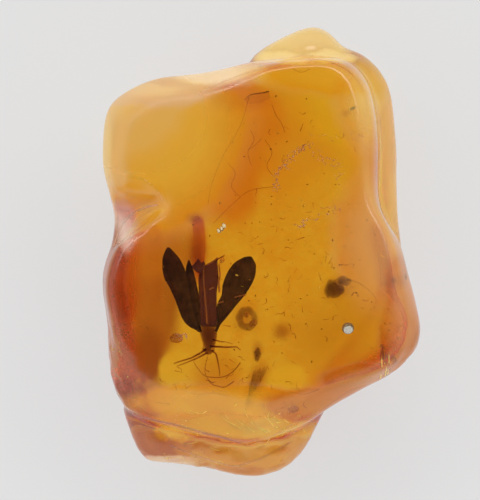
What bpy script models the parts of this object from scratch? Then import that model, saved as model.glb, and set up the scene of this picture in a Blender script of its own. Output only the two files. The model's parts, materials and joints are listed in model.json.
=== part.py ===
"""An insect sealed in a polished amber nugget, lying on its flat underside. Units below are millimetres."""

import math
import random

import bmesh
import bpy
from mathutils import Matrix, Vector

MM = 0.001

# Driving dimensions of the nugget.
PARTING_Z = 9.2  # the level at which the clear stone is parted, through the insect
GAP = 0.3  # left between the two halves
CLEARANCE = 0.32  # left around each sealed piece
ROOM_SIDES_SHARE = 1.3  # of the clearance, at the sides of a round room with flat facets
FACE_Z = 14.5  # top of the front face
DOME = 1.2  # rise of the face from its edge
DOME_STEPS = (0.93, 0.8, 0.6, 0.35, 0.12)  # shares of the face's width
BEVEL_Z = 10.9  # crest at the foot of the bevels round the face
REACH = 30.0  # beyond every side of the stone
RING_POINTS = 72
CURVE_STEPS = 8  # between two points of an outline, before it is read evenly
SKIN_MESH = 0.36  # mesh size while the masses are blended
STONE_TRIANGLES = 5200
SWELL_SIZE = 5.5  # low swells left by the polishing
SWELL_HEIGHT = 0.5
SWELL_LEVEL = 0.25  # the swells' height that leaves the skin where it was
POLISH_PASSES = 4

# Outlines seen from the front, clockwise from the top left corner, X right and Y up.
FRONT_OUTLINE = [
    (-10.7, 12.5), (-8.4, 13.4), (-4.7, 14.0), (-0.8, 14.8), (2.4, 15.25), (5.4, 15.3),
    (7.4, 14.7), (8.6, 13.2), (9.15, 11.2), (9.3, 8.4), (9.2, 5.6), (9.4, 3.5), (10.2, 1.8),
    (11.2, 0.0), (12.0, -3.3), (12.5, -5.7), (12.4, -7.2), (11.5, -8.7), (10.0, -9.8),
    (8.3, -10.7), (6.6, -11.5), (4.9, -12.6), (2.7, -14.0), (0.1, -15.1), (-1.7, -15.2),
    (-3.6, -14.8), (-6.3, -14.1), (-8.8, -13.4), (-10.6, -12.4), (-11.5, -10.7), (-11.9, -8.2),
    (-12.1, -5.2), (-12.4, -2.8), (-12.2, -1.1), (-11.6, 0.6), (-11.5, 2.6), (-11.9, 4.4),
    (-12.3, 6.5), (-12.4, 8.4), (-12.3, 10.2), (-11.9, 11.6),
]
FACE_OUTLINE = [
    (-10.3, 11.5), (-8.2, 12.1), (-4.6, 12.6), (-1.2, 13.8), (2.4, 14.8), (5.1, 14.9),
    (7.0, 14.2), (8.2, 12.9), (8.8, 11.2), (8.9, 8.2), (8.7, 5.2), (9.0, 3.6), (9.7, 2.0),
    (10.5, -0.4), (11.1, -3.2), (11.5, -5.6), (11.2, -7.4), (10.3, -8.6), (8.9, -9.4),
    (7.6, -9.8), (6.4, -10.2), (4.8, -10.9), (2.4, -11.6), (0.1, -12.0), (-1.6, -11.6),
    (-4.0, -11.2), (-6.0, -11.1), (-7.7, -10.9), (-9.0, -10.0), (-10.1, -9.0), (-11.1, -7.6),
    (-11.6, -5.2), (-11.9, -2.8), (-11.7, -1.1), (-11.1, 0.6), (-10.9, 2.6), (-11.2, 4.4),
    (-11.5, 6.4), (-11.6, 8.2), (-11.4, 9.8), (-11.0, 10.8),
]
REAR_OUTLINE = [
    (-10.2, 11.6), (-7.8, 12.8), (-4.4, 13.4), (-1.0, 14.6), (2.2, 15.6), (5.2, 16.4),
    (7.4, 16.1), (9.1, 15.1), (10.3, 13.5), (10.7, 11.2), (10.8, 8.2), (10.9, 4.5), (11.0, 2.1),
    (11.4, -0.4), (11.7, -3.3), (11.7, -6.0), (11.0, -8.0), (9.4, -9.6), (7.6, -10.9),
    (5.9, -11.8), (4.8, -12.9), (3.6, -14.4), (2.0, -15.6), (0.0, -16.2), (-2.4, -16.0),
    (-5.0, -15.4), (-7.6, -14.6), (-9.6, -13.6), (-10.8, -12.0), (-11.3, -10.0), (-11.4, -8.0),
    (-11.5, -5.0), (-11.6, -2.6), (-11.4, -0.8), (-10.9, 0.8), (-10.8, 2.6), (-11.1, 4.4),
    (-11.5, 6.4), (-11.6, 8.2), (-11.5, 9.6), (-11.1, 10.7),
]
REST_OUTLINE = [  # the flat that the nugget lies on
    (-6.4, 8.4), (-2.6, 10.2), (1.8, 10.6), (5.6, 9.4), (7.4, 6.0), (7.8, 2.0), (8.2, -2.4),
    (7.0, -6.0), (4.2, -8.2), (0.6, -9.4), (-3.4, -9.2), (-6.4, -7.2), (-7.4, -3.4), (-7.0, 0.6),
    (-7.4, 5.0),
]
LOBE_OUTLINE = [
    (-10.7, -11.8), (-6.0, -11.4), (-1.0, -11.2), (3.0, -11.2), (5.2, -12.0), (5.0, -12.8),
    (4.5, -14.0), (3.9, -15.2), (2.9, -16.6), (1.4, -17.7), (-0.8, -18.15), (-2.7, -17.8),
    (-4.8, -17.15), (-8.6, -16.8), (-9.8, -15.9), (-10.6, -13.8),
]
TOP_LUMP_OUTLINE = [
    (-1.6, 13.2), (-0.7, 15.5), (0.4, 16.4), (2.5, 17.6), (4.4, 18.1), (5.8, 17.4),
    (6.5, 16.4), (7.6, 15.4), (8.0, 12.0), (3.0, 10.5),
]

# The insect hangs head down in the middle left of the stone.
LEFT_FOREWING = [
    (-4.8, -6.1), (-5.95, -6.0), (-7.1, -4.0), (-7.85, -2.4), (-8.05, -1.45), (-7.95, -0.5),
    (-7.6, 0.0), (-6.9, -0.3), (-6.3, -0.95), (-5.6, -2.2), (-5.0, -4.0),
]
RIGHT_FOREWING = [
    (-3.9, -6.1), (-3.6, -4.65), (-2.9, -2.3), (-2.3, -1.35), (-1.55, -0.75), (-0.9, -0.4),
    (-0.5, -0.45), (-0.35, -1.05), (-0.5, -2.1), (-1.2, -3.8), (-2.05, -4.7), (-3.2, -6.0),
]
LEFT_HINDWING = [
    (-4.6, -6.0), (-5.6, -5.9), (-6.05, -3.6), (-6.1, -1.55), (-5.85, -0.7), (-5.5, -1.1),
    (-5.2, -1.9), (-4.9, -3.8),
]
RIGHT_HINDWING = [
    (-4.5, -6.0), (-4.7, -3.6), (-4.65, -1.2), (-3.4, -0.8), (-3.3, -1.3), (-3.4, -3.8),
    (-3.65, -6.0),
]
ABDOMEN = [  # x, y, radius, from the thorax to the tip
    (-4.45, -5.9, 0.5), (-4.6, -3.4, 0.5), (-4.9, -0.9, 0.5), (-5.0, 1.2, 0.48), (-5.0, 2.6, 0.28),
]
THORAX = (-4.5, -6.35)
THORAX_RADII = (1.12, 0.6, 0.7)
NECK = [(-4.45, -6.5, 0.75), (-4.25, -7.6, 0.48), (-4.35, -8.2, 0.3)]  # x, y, radius
WING_THICKNESS = 0.2
FOREWING_LIFT = 0.2  # middle of the forewings over the parting plane
HINDWING_DROP = 0.13
LIMB_RADIUS = 0.1
LIMB_DROP = 0.05
LIMBS = [  # legs and feelers, each from the body outwards
    [(-4.4, -8.0), (-5.2, -8.3), (-7.05, -9.0)],
    [(-4.35, -8.2), (-5.0, -8.65), (-6.85, -9.25)],
    [(-4.2, -7.7), (-3.4, -7.8), (-1.7, -7.8)],
    [(-4.2, -7.1), (-3.3, -7.25), (-2.25, -7.4)],
    [(-4.3, -8.1), (-3.85, -8.45), (-3.4, -9.4), (-3.35, -10.0)],
    [
        (-4.35, -8.1), (-5.4, -8.95), (-4.9, -9.7), (-4.2, -10.05), (-3.1, -10.1), (-2.25, -9.6),
        (-1.65, -8.95),
    ],
    [(-4.35, -8.2), (-4.3, -9.6), (-4.15, -10.45), (-3.6, -10.8), (-2.9, -10.9), (-2.25, -10.5)],
]
POCKET_OUTLINE = [
    (-5.9, 4.1), (-8.1, 0.7), (-8.6, -1.3), (-7.4, -5.0), (-6.8, -6.0), (-7.0, -8.2), (-7.7, -9.0),
    (-7.2, -10.0), (-5.0, -11.2), (-3.1, -11.5), (-1.6, -10.7), (-1.2, -9.0), (-1.1, -7.5),
    (-2.0, -6.2), (-0.3, -3.4), (0.25, -1.2), (-0.1, 0.1), (-4.1, 4.1),
]
POCKET_DEPTH = 1.3
BODY_TROUGH = [  # x, y, radius of the deeper room along the body
    (-4.35, -8.7, 0.7), (-4.5, -6.8, 1.15), (-4.5, -5.8, 1.1), (-4.6, -3.4, 0.9), (-5.0, 3.1, 0.85),
]

# Every other sealed piece: name, middle, half sizes, turn about Z in degrees, colour.
CRUMB_UNEVENNESS = 0.12  # share of the least half size
CRUMBS = [
    ("dark_grain", (10.0, -2.35, 9.4), (0.34, 0.34, 0.3), 0, (0.03, 0.015, 0.01)),
    ("ring_crumb", (-1.05, -5.25, 9.0), (1.02, 1.02, 0.42), 0, (0.2, 0.11, 0.03)),
    ("pale_crumb", (-6.5, -6.85, 9.3), (0.6, 0.42, 0.35), -15, (0.6, 0.4, 0.3)),
    ("brown_cone", (-0.2, -7.95, 9.1), (0.32, 0.64, 0.3), 0, (0.12, 0.06, 0.02)),
    ("bark_shred", (-0.3, -10.15, 9.0), (0.55, 1.4, 0.35), -18, (0.1, 0.05, 0.015)),
    ("pink_crumb", (2.2, -11.6, 9.2), (0.42, 0.3, 0.3), 30, (0.5, 0.3, 0.2)),
    ("grain_column", (9.4, -8.2, 9.2), (0.36, 1.0, 0.32), -6, (0.08, 0.04, 0.015)),
    ("bark_flake", (-0.2, 12.0, 9.4), (1.0, 0.36, 0.16), 14, (0.25, 0.13, 0.04)),
]
PELLET_LOBES = [  # middle, half sizes, turn
    ((5.76, -3.16, 8.9), (0.7, 0.6, 0.5), 20),
    ((6.4, -2.4, 9.0), (0.55, 0.34, 0.34), -10),
]
LEFT_NOTCH = [  # x, y, z, radius of the valley that runs in from the left side
    (-14.6, 1.6, 12.4, 3.2), (-11.8, 2.4, 12.5, 2.2), (-9.6, 3.1, 13.1, 1.3), (-7.7, 3.8, 14.0, 0.6),
]


def in_metres(x, y, z):
    """A point given in millimetres, as Blender holds it."""
    return Vector((x, y, z)) * MM


def clear_scene():
    for old in list(bpy.data.objects):
        bpy.data.objects.remove(old, do_unlink=True)


def material(name, colour, roughness, transmission=0.0, ior=1.45):
    made = bpy.data.materials.new(name)
    made.use_nodes = True
    shader = made.node_tree.nodes["Principled BSDF"]
    shader.inputs["Base Color"].default_value = (*colour, 1.0)
    shader.inputs["Roughness"].default_value = roughness
    shader.inputs["Transmission Weight"].default_value = transmission
    shader.inputs["IOR"].default_value = ior
    return made


def as_object(mesh_builder, name):
    """Turns a finished bmesh into an object of the scene."""
    mesh = bpy.data.meshes.new(name)
    bmesh.ops.recalc_face_normals(mesh_builder, faces=mesh_builder.faces)
    mesh_builder.to_mesh(mesh)
    mesh_builder.free()
    made = bpy.data.objects.new(name, mesh)
    bpy.context.collection.objects.link(made)
    return made


def helper(made):
    """Marks an object as one that only shapes others."""
    made.hide_render = True
    made.display_type = "WIRE"
    return made


def smooth_ring(outline, count):
    """The outline as a closed smooth curve read at evenly spaced points."""
    corners = [Vector(point) for point in outline]
    fine = []
    for index, corner in enumerate(corners):
        before = corners[index - 1]
        after = corners[(index + 1) % len(corners)]
        beyond = corners[(index + 2) % len(corners)]
        for step in range(CURVE_STEPS):
            t = step / CURVE_STEPS
            fine.append(0.5 * (
                2 * corner
                + (after - before) * t
                + (2 * before - 5 * corner + 4 * after - beyond) * t ** 2
                + (3 * corner - before - 3 * after + beyond) * t ** 3
            ))
    lengths = [0.0]
    for index, point in enumerate(fine):
        lengths.append(lengths[-1] + (fine[(index + 1) % len(fine)] - point).length)
    ring = []
    index = 0
    for step in range(count):
        wanted = lengths[-1] * step / count
        while lengths[index + 1] < wanted:
            index += 1
        part = (wanted - lengths[index]) / (lengths[index + 1] - lengths[index])
        ring.append(fine[index].lerp(fine[(index + 1) % len(fine)], part))
    return ring


def drawn_in(ring, inset):
    """The ring moved inwards by the inset, square to its own run."""
    moved = []
    for index, point in enumerate(ring):
        run = ring[(index + 2) % len(ring)] - ring[index - 2]
        moved.append(point + Vector((run.y, -run.x)).normalized() * inset)
    return moved


def between(first, second, share):
    """The ring a share of the way from the first ring to the second."""
    return [a.lerp(b, share) for a, b in zip(first, second)]


def shrunk(ring, scale):
    """The ring scaled about its own middle."""
    middle = sum(ring, Vector((0.0, 0.0))) / len(ring)
    return [middle + (point - middle) * scale for point in ring]


def domed(ring, level, rise):
    """Sections that close a ring upwards with a low dome."""
    sections = []
    for scale in DOME_STEPS:
        sections.append((level + rise * (1 - scale ** 2), shrunk(ring, scale)))
    return sections


def loft(name, sections):
    """A closed body through rings at rising levels, each (level, ring)."""
    shape = bmesh.new()
    loops = []
    for level, ring in sections:
        loops.append([shape.verts.new(in_metres(point.x, point.y, level)) for point in ring])
    for lower, upper in zip(loops, loops[1:]):
        for index in range(len(lower)):
            after = (index + 1) % len(lower)
            shape.faces.new((lower[index], lower[after], upper[after], upper[index]))
    shape.faces.new(loops[0])
    shape.faces.new(loops[-1])
    return as_object(shape, name)


def ball(name, centre, radii, turn=0.0, segments=14, rings=8):
    shape = bmesh.new()
    place = Matrix.Translation(in_metres(*centre)) @ Matrix.Rotation(math.radians(turn), 4, "Z")
    stretch = Matrix.Diagonal((*(radius * MM for radius in radii), 1.0))
    bmesh.ops.create_uvsphere(
        shape, u_segments=segments, v_segments=rings, radius=1.0, matrix=place @ stretch,
    )
    return as_object(shape, name)


def blade(name, outline, middle, thickness):
    """A flat plate of an outline, its middle plane at the given level."""
    shape = bmesh.new()
    corners = [shape.verts.new(in_metres(x, y, middle - thickness / 2)) for x, y in outline]
    sheet = shape.faces.new(corners)
    grown = bmesh.ops.extrude_face_region(shape, geom=[sheet])
    lifted = [item for item in grown["geom"] if isinstance(item, bmesh.types.BMVert)]
    bmesh.ops.translate(shape, verts=lifted, vec=(0.0, 0.0, thickness * MM))
    return as_object(shape, name)


def limb(name, route, sides=6):
    """A round tube along points of (x, y, z, radius), its ends closed by small cones."""
    shape = bmesh.new()
    points = [Vector(stop[:3]) for stop in route]
    loops = []
    for index, point in enumerate(points):
        ahead = points[min(index + 1, len(points) - 1)] - points[max(index - 1, 0)]
        across = ahead.cross(Vector((0.0, 0.0, 1.0))).normalized()
        upwards = across.cross(ahead).normalized()
        loop = []
        for side in range(sides):
            angle = 2 * math.pi * side / sides
            spoke = across * math.cos(angle) + upwards * math.sin(angle)
            loop.append(shape.verts.new((point + spoke * route[index][3]) * MM))
        loops.append(loop)
    for lower, upper in zip(loops, loops[1:]):
        for side in range(sides):
            after = (side + 1) % sides
            shape.faces.new((lower[side], lower[after], upper[after], upper[side]))
    for loop, point, neighbour, radius in (
        (loops[0], points[0], points[1], route[0][3]),
        (loops[-1], points[-1], points[-2], route[-1][3]),
    ):
        tip = shape.verts.new((point + (point - neighbour).normalized() * radius * 0.7) * MM)
        for side in range(sides):
            shape.faces.new((loop[side], loop[(side + 1) % sides], tip))
    return as_object(shape, name)


def box(name, low, high):
    shape = bmesh.new()
    bmesh.ops.create_cube(shape, size=1.0)
    for corner in shape.verts:
        for axis in range(3):
            corner.co[axis] = (low[axis] if corner.co[axis] < 0 else high[axis]) * MM
    return as_object(shape, name)


def boolean(target, operation, others):
    """One exact Boolean of the target with a group of helpers."""
    group = bpy.data.collections.new(target.name + "_" + operation.lower())
    bpy.context.scene.collection.children.link(group)
    for other in others:
        helper(other)
        for holder in list(other.users_collection):
            holder.objects.unlink(other)
        group.objects.link(other)
    step = target.modifiers.new(operation.title(), "BOOLEAN")
    step.operation = operation
    step.solver = "EXACT"
    step.operand_type = "COLLECTION"
    step.collection = group
    return step


def settled(target):
    """Applies the modifiers of an object, so that others can copy its finished mesh."""
    graph = bpy.context.evaluated_depsgraph_get()
    mesh = bpy.data.meshes.new_from_object(target.evaluated_get(graph))
    target.modifiers.clear()
    target.data = mesh
    return target


def copy_of(source, name):
    made = bpy.data.objects.new(name, source.data.copy())
    bpy.context.collection.objects.link(made)
    return made


def stone_blank():
    """The nugget's masses blended into one polished body, its underside cut flat at Z = 0."""
    front = smooth_ring(FRONT_OUTLINE, RING_POINTS)
    face = smooth_ring(FACE_OUTLINE, RING_POINTS)
    rear = smooth_ring(REAR_OUTLINE, RING_POINTS)
    lobe = smooth_ring(LOBE_OUTLINE, RING_POINTS // 2)
    lump = smooth_ring(TOP_LUMP_OUTLINE, RING_POINTS // 2)
    body = loft("nugget_blank", [
        (4.0, drawn_in(front, 1.4)),
        (6.2, drawn_in(front, 0.25)),
        (8.0, front),
        (BEVEL_Z - 0.4, front),
        (BEVEL_Z, drawn_in(front, 0.12)),
        (FACE_Z - DOME, face),
        *domed(face, FACE_Z - DOME, DOME),
    ])
    rest = smooth_ring(REST_OUTLINE, RING_POINTS)
    back = loft("rear_mass", [
        (-0.7, shrunk(rest, 0.9)),
        (0.2, rest),
        (1.6, between(rest, rear, 0.5)),
        (3.0, between(rest, rear, 0.85)),
        (4.4, rear),
        (5.8, drawn_in(rear, 0.1)),
        (7.2, drawn_in(rear, 0.8)),
        (8.0, drawn_in(rear, 2.0)),
    ])
    low_lobe = loft("low_lobe", [
        (1.0, drawn_in(lobe, 2.0)),
        (2.6, drawn_in(lobe, 0.8)),
        (5.0, lobe),
        (6.9, lobe),
        (8.1, drawn_in(lobe, 0.7)),
        (8.6, drawn_in(lobe, 1.5)),
    ])
    top_lump = loft("top_lump", [
        (1.6, drawn_in(lump, 1.6)),
        (3.2, drawn_in(lump, 0.5)),
        (5.0, lump),
        (6.4, drawn_in(lump, 0.3)),
        (7.6, drawn_in(lump, 1.4)),
    ])
    boolean(body, "UNION", [back, low_lobe, top_lump])
    boolean(body, "DIFFERENCE", [limb("left_notch", LEFT_NOTCH, sides=12)])
    skin = body.modifiers.new("Blend", "REMESH")
    skin.mode = "VOXEL"
    skin.voxel_size = SKIN_MESH * MM
    swells = bpy.data.textures.new("swells", "CLOUDS")
    swells.noise_scale = SWELL_SIZE * MM
    swells.noise_depth = 1
    tumbled = body.modifiers.new("Tumbled", "DISPLACE")
    tumbled.texture = swells
    tumbled.strength = SWELL_HEIGHT * MM
    tumbled.mid_level = SWELL_LEVEL
    polish = body.modifiers.new("Polish", "SMOOTH")
    polish.iterations = POLISH_PASSES
    settled(body)
    lighter = body.modifiers.new("Lighter", "DECIMATE")
    lighter.ratio = STONE_TRIANGLES / (2 * len(body.data.polygons))
    settled(body)
    return body


def insect():
    """Head, thorax, long abdomen, two pairs of wings, legs and feelers, fused in one piece."""
    level = PARTING_Z
    body = ball("insect", (*THORAX, level), THORAX_RADII)
    joined = [
        limb("neck_and_head", [(x, y, level, radius) for x, y, radius in NECK], sides=10),
        limb("abdomen", [(x, y, level, radius) for x, y, radius in ABDOMEN], sides=10),
        blade("left_forewing", LEFT_FOREWING, level + FOREWING_LIFT, WING_THICKNESS),
        blade("right_forewing", RIGHT_FOREWING, level + FOREWING_LIFT, WING_THICKNESS),
        blade("left_hindwing", LEFT_HINDWING, level - HINDWING_DROP, WING_THICKNESS),
        blade("right_hindwing", RIGHT_HINDWING, level - HINDWING_DROP, WING_THICKNESS),
    ]
    for number, route in enumerate(LIMBS, 1):
        stops = [(x, y, level - LIMB_DROP, LIMB_RADIUS) for x, y in route]
        joined.append(limb(f"limb_{number}", stops))
    boolean(body, "UNION", joined)
    return body


def insect_pocket():
    """The room around the insect: a flat chamber for the wings and legs, deeper along the body."""
    chamber = blade("insect_pocket", POCKET_OUTLINE, PARTING_Z, POCKET_DEPTH)
    stops = [(x, y, PARTING_Z, radius) for x, y, radius in BODY_TROUGH]
    return [chamber, limb("body_trough", stops, sides=12)]


def crumb(name, centre, radii, turn):
    """A small sealed lump with an uneven skin."""
    made = ball(name, centre, radii, turn, segments=12, rings=7)
    chance = random.Random(name)
    reach = CRUMB_UNEVENNESS * min(radii) * MM
    for corner in made.data.vertices:
        corner.co += Vector([chance.uniform(-reach, reach) for _ in range(3)])
    return made


def room_for(centre, radii, turn=0.0):
    """The pocket of one sealed lump, deep enough to open on the parting plane."""
    x, y, z = centre
    low = min(z - radii[2], PARTING_Z) - CLEARANCE
    high = max(z + radii[2], PARTING_Z) + CLEARANCE
    sideways = CLEARANCE * ROOM_SIDES_SHARE
    place = Matrix.Translation(in_metres(x, y, (low + high) / 2))
    place @= Matrix.Rotation(math.radians(turn), 4, "Z")
    stretch = in_metres(radii[0] + sideways, radii[1] + sideways, high - low)
    shape = bmesh.new()
    bmesh.ops.create_cone(
        shape, cap_ends=True, segments=12, radius1=1.0, radius2=1.0, depth=1.0,
        matrix=place @ Matrix.Diagonal((*stretch, 1.0)),
    )
    return as_object(shape, "room")


def build():
    clear_scene()
    amber = material("clear_amber", (0.75, 0.33, 0.03), 0.04, transmission=1.0, ior=1.54)
    dark = material("dark_chitin", (0.03, 0.014, 0.008), 0.4)

    insect_body = insect()
    insect_body.data.materials.append(dark)

    rooms = insect_pocket()
    for name, centre, radii, turn, colour in CRUMBS:
        piece = crumb(name, centre, radii, turn)
        piece.data.materials.append(material(name + "_finish", colour, 0.6))
        rooms.append(room_for(centre, radii, turn))
    pellet = ball("dark_pellet", *PELLET_LOBES[0])
    pellet.data.materials.append(material("dark_pellet_finish", (0.08, 0.035, 0.012), 0.6))
    boolean(pellet, "UNION", [ball("pellet_lobe", *PELLET_LOBES[1])])
    rooms += [room_for(*lobe) for lobe in PELLET_LOBES]

    blank = stone_blank()
    blank.data.materials.clear()
    blank.data.materials.append(amber)
    for name, low, high in (
        ("amber_back", PARTING_Z - GAP / 2, REACH),
        ("amber_front", -REACH, PARTING_Z + GAP / 2),
    ):
        half = copy_of(blank, name)
        waste = [box(name + "_waste", (-REACH, -REACH, low), (REACH, REACH, high))]
        if name == "amber_back":
            waste.append(box("underside_cut", (-REACH, -REACH, -REACH), (REACH, REACH, 0.0)))
        boolean(half, "DIFFERENCE", waste + [copy_of(room, f"{room.name}_{name}") for room in rooms])
    helper(blank)
    for room in rooms:
        helper(room)


build()
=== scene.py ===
import json
import math
import random

import bpy
from mathutils import Euler, Matrix, Vector

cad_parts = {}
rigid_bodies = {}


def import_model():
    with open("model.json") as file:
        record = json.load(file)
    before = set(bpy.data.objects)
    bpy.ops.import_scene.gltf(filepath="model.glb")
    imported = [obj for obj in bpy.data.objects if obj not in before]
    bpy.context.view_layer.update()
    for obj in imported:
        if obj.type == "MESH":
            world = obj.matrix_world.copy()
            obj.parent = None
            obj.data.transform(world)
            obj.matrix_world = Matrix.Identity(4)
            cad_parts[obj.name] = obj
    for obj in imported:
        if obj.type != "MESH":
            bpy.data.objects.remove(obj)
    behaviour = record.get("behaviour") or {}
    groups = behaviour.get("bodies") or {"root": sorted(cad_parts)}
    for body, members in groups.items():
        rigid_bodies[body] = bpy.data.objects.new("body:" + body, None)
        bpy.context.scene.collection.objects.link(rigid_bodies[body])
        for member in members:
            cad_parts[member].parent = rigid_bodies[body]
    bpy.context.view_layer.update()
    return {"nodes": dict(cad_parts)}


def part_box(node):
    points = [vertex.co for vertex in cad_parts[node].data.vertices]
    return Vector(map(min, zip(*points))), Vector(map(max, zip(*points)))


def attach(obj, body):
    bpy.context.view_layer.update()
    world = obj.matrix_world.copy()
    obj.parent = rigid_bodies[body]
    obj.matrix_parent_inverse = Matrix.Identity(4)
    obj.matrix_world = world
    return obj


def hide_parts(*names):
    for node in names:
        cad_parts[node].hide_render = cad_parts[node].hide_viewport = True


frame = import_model()

MM = 0.001

# ---- Bench: how pieces are drawn, shaped and put away. Sizes are millimetres. ----


def at(x, y, z=0.0):
    """A place given in millimetres."""
    return Vector((x, y, z)) * MM


def open_mesh():
    """Goes into edit mode with all of the mesh selected."""
    bpy.ops.object.mode_set(mode="EDIT")
    bpy.ops.mesh.select_all(action="SELECT")


def close_mesh():
    """Leaves edit mode."""
    bpy.ops.object.mode_set(mode="OBJECT")


def face_outwards():
    """Turns every face outwards and leaves edit mode."""
    bpy.ops.mesh.select_all(action="SELECT")
    bpy.ops.mesh.normals_make_consistent(inside=False)
    close_mesh()


def lay_down_tools():
    """Leaves edit mode and deselects everything."""
    if bpy.context.object and bpy.context.object.mode != "OBJECT":
        close_mesh()
    bpy.ops.object.select_all(action="DESELECT")


def take(*pieces):
    """Selects the pieces, the first of them active."""
    lay_down_tools()
    for piece in pieces:
        piece.select_set(True)
    bpy.context.view_layer.objects.active = pieces[0]


def just_made(name):
    """Names the piece that was just made."""
    piece = bpy.context.object
    piece.name = name
    piece.data.name = name
    return piece


def settle(piece):
    """Puts the piece's place into its mesh."""
    take(piece)
    bpy.ops.object.transform_apply(location=True, rotation=True, scale=True)
    return piece


def apply_all(piece):
    """Works the piece's modifiers into its mesh."""
    take(piece)
    for modifier in list(piece.modifiers):
        bpy.ops.object.modifier_apply(modifier=modifier.name)
    return piece


def joined(name, pieces):
    """Several pieces put into one mesh."""
    take(*pieces)
    if len(pieces) > 1:
        bpy.ops.object.join()
    return just_made(name)


def copy_of(piece, turn, scale, place):
    """One more of a small piece, with a mesh of its own, turned, scaled and put in its place."""
    twin = bpy.data.objects.new(piece.name, piece.data.copy())
    bpy.context.scene.collection.objects.link(twin)
    twin.data.transform(Matrix.LocRotScale(at(*place), turn, scale))
    return twin


def copy_of_node(node_name, name):
    """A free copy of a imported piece, with its loose triangles merged."""
    piece = bpy.data.objects.new(name, frame["nodes"][node_name].data.copy())
    bpy.context.scene.collection.objects.link(piece)
    piece.data.materials.clear()
    take(piece)
    open_mesh()
    bpy.ops.mesh.remove_doubles(threshold=0.0005 * MM)
    close_mesh()
    return piece


def clouded(piece, size, height, name="unevenness"):
    """Adds an uneven skin: lumps of a size that stand up and sink by about half of the height."""
    texture = bpy.data.textures.new(name, "CLOUDS")
    texture.noise_scale = size * MM
    texture.noise_depth = 2
    modifier = piece.modifiers.new(name, "DISPLACE")
    modifier.texture = texture
    modifier.texture_coords = "LOCAL"
    modifier.strength = height * MM
    modifier.mid_level = 0.5
    return modifier


def bent(points, steps=4):
    """The points with more put between them, along a curve that passes through every one."""
    path = [Vector(point) for point in points]
    curve = []
    for index in range(len(path) - 1):
        before, start, end = path[max(index - 1, 0)], path[index], path[index + 1]
        beyond = path[min(index + 2, len(path) - 1)]
        for step in range(steps):
            t = step / steps
            curve.append(0.5 * (
                2 * start
                + (end - before) * t
                + (2 * before - 5 * start + 4 * end - beyond) * t ** 2
                + (3 * start - before - 3 * end + beyond) * t ** 3
            ))
    return curve + [path[-1]]


def drawn_line(name, points):
    """A line drawn on from point to point."""
    lay_down_tools()
    bpy.ops.mesh.primitive_plane_add(size=MM, location=at(*points[0]))
    line = just_made(name)
    bpy.ops.object.mode_set(mode="EDIT")
    bpy.ops.mesh.select_mode(type="VERT")
    bpy.ops.mesh.merge(type="CENTER")
    for start, end in zip(points, points[1:]):
        bpy.ops.mesh.extrude_region_move(TRANSFORM_OT_translate={"value": at(*end) - at(*start)})
    close_mesh()
    return settle(line)


def wire(name, points, thickness, ends=(1.0, 1.0), steps=4):
    """A round wire along a curve, its ends thinned or thickened by shares of its thickness."""
    line = drawn_line(name, bent(points, steps))
    bpy.ops.object.convert(target="CURVE")
    curve = line.data
    curve.dimensions = "3D"
    curve.bevel_depth = thickness / 2 * MM
    curve.bevel_resolution = 1
    curve.use_fill_caps = True
    for spline in curve.splines:
        last = len(spline.points) - 1
        for index, point in enumerate(spline.points):
            point.radius = ends[0] + (ends[1] - ends[0]) * index / last
    bpy.ops.object.convert(target="MESH")
    return just_made(name)


def ringed_body(name, stops, height, sides=20):
    """A body run out ring by ring along Y at one height. Each stop is x, y, half width, half depth."""
    lay_down_tools()
    x, y, wide, deep = stops[0]
    bpy.ops.mesh.primitive_circle_add(
        vertices=sides, radius=MM, fill_type="NGON", location=at(x, y, height),
        rotation=(math.pi / 2, 0, 0),
    )
    body = settle(just_made(name))
    open_mesh()
    bpy.ops.transform.resize(value=(wide, 1, deep), center_override=at(x, y, height))
    for before, after in zip(stops, stops[1:]):
        middle = at(*after[:2], height)
        step = middle - at(*before[:2], height)
        bpy.ops.mesh.extrude_region_move(TRANSFORM_OT_translate={"value": step})
        grown = (after[2] / before[2], 1, after[3] / before[3])
        bpy.ops.transform.resize(value=grown, center_override=middle)
    face_outwards()
    round_off = body.modifiers.new("round_off", "SUBSURF")
    round_off.levels = round_off.render_levels = 1
    apply_all(body)
    bpy.ops.object.shade_smooth()
    return body


def sheet(name, near_edge, far_edge, thickness, rows=8):
    """A thin sheet stretched between two drawn edges."""
    edges = [drawn_line(name, bent(near_edge)), drawn_line(name + "_far", bent(far_edge))]
    piece = joined(name, edges)
    bpy.ops.object.mode_set(mode="EDIT")
    bpy.ops.mesh.select_mode(type="EDGE")
    bpy.ops.mesh.select_all(action="SELECT")
    bpy.ops.mesh.bridge_edge_loops(number_cuts=rows, interpolation="LINEAR", smoothness=0.0)
    face_outwards()
    wall = piece.modifiers.new("wall", "SOLIDIFY")
    wall.thickness = thickness * MM
    wall.offset = 0.0
    apply_all(piece)
    bpy.ops.object.shade_smooth()
    return piece


def lump(name, centre, radii, turn=0.0, size=0.5, height=0.2, detail=4):
    """An uneven rounded lump: a ball drawn out, turned about Z and given a pitted skin."""
    lay_down_tools()
    bpy.ops.mesh.primitive_ico_sphere_add(subdivisions=detail, radius=MM, location=at(*centre))
    piece = just_made(name)
    piece.scale = radii
    piece.rotation_euler = (0, 0, math.radians(turn))
    settle(piece)
    clouded(piece, size, height, name + "_skin")
    apply_all(piece)
    bpy.ops.object.shade_smooth()
    return piece


def dress(piece, finish, slot, *nodes):
    """Gives a finished piece its finish, its place on the part and the nodes that it stands for."""
    piece.data.materials.clear()
    piece.data.materials.append(finish)
    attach(piece, "root")
    if nodes:
        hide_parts(*nodes)
    return piece


# ---- Finishes ----


def linear(hex_colour):
    """An sRGB hex colour as linear red, green, blue and alpha."""
    channels = [int(hex_colour[i:i + 2], 16) / 255 for i in (1, 3, 5)]
    return (*((c / 12.92 if c <= 0.04045 else ((c + 0.055) / 1.055) ** 2.4) for c in channels), 1.0)


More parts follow.
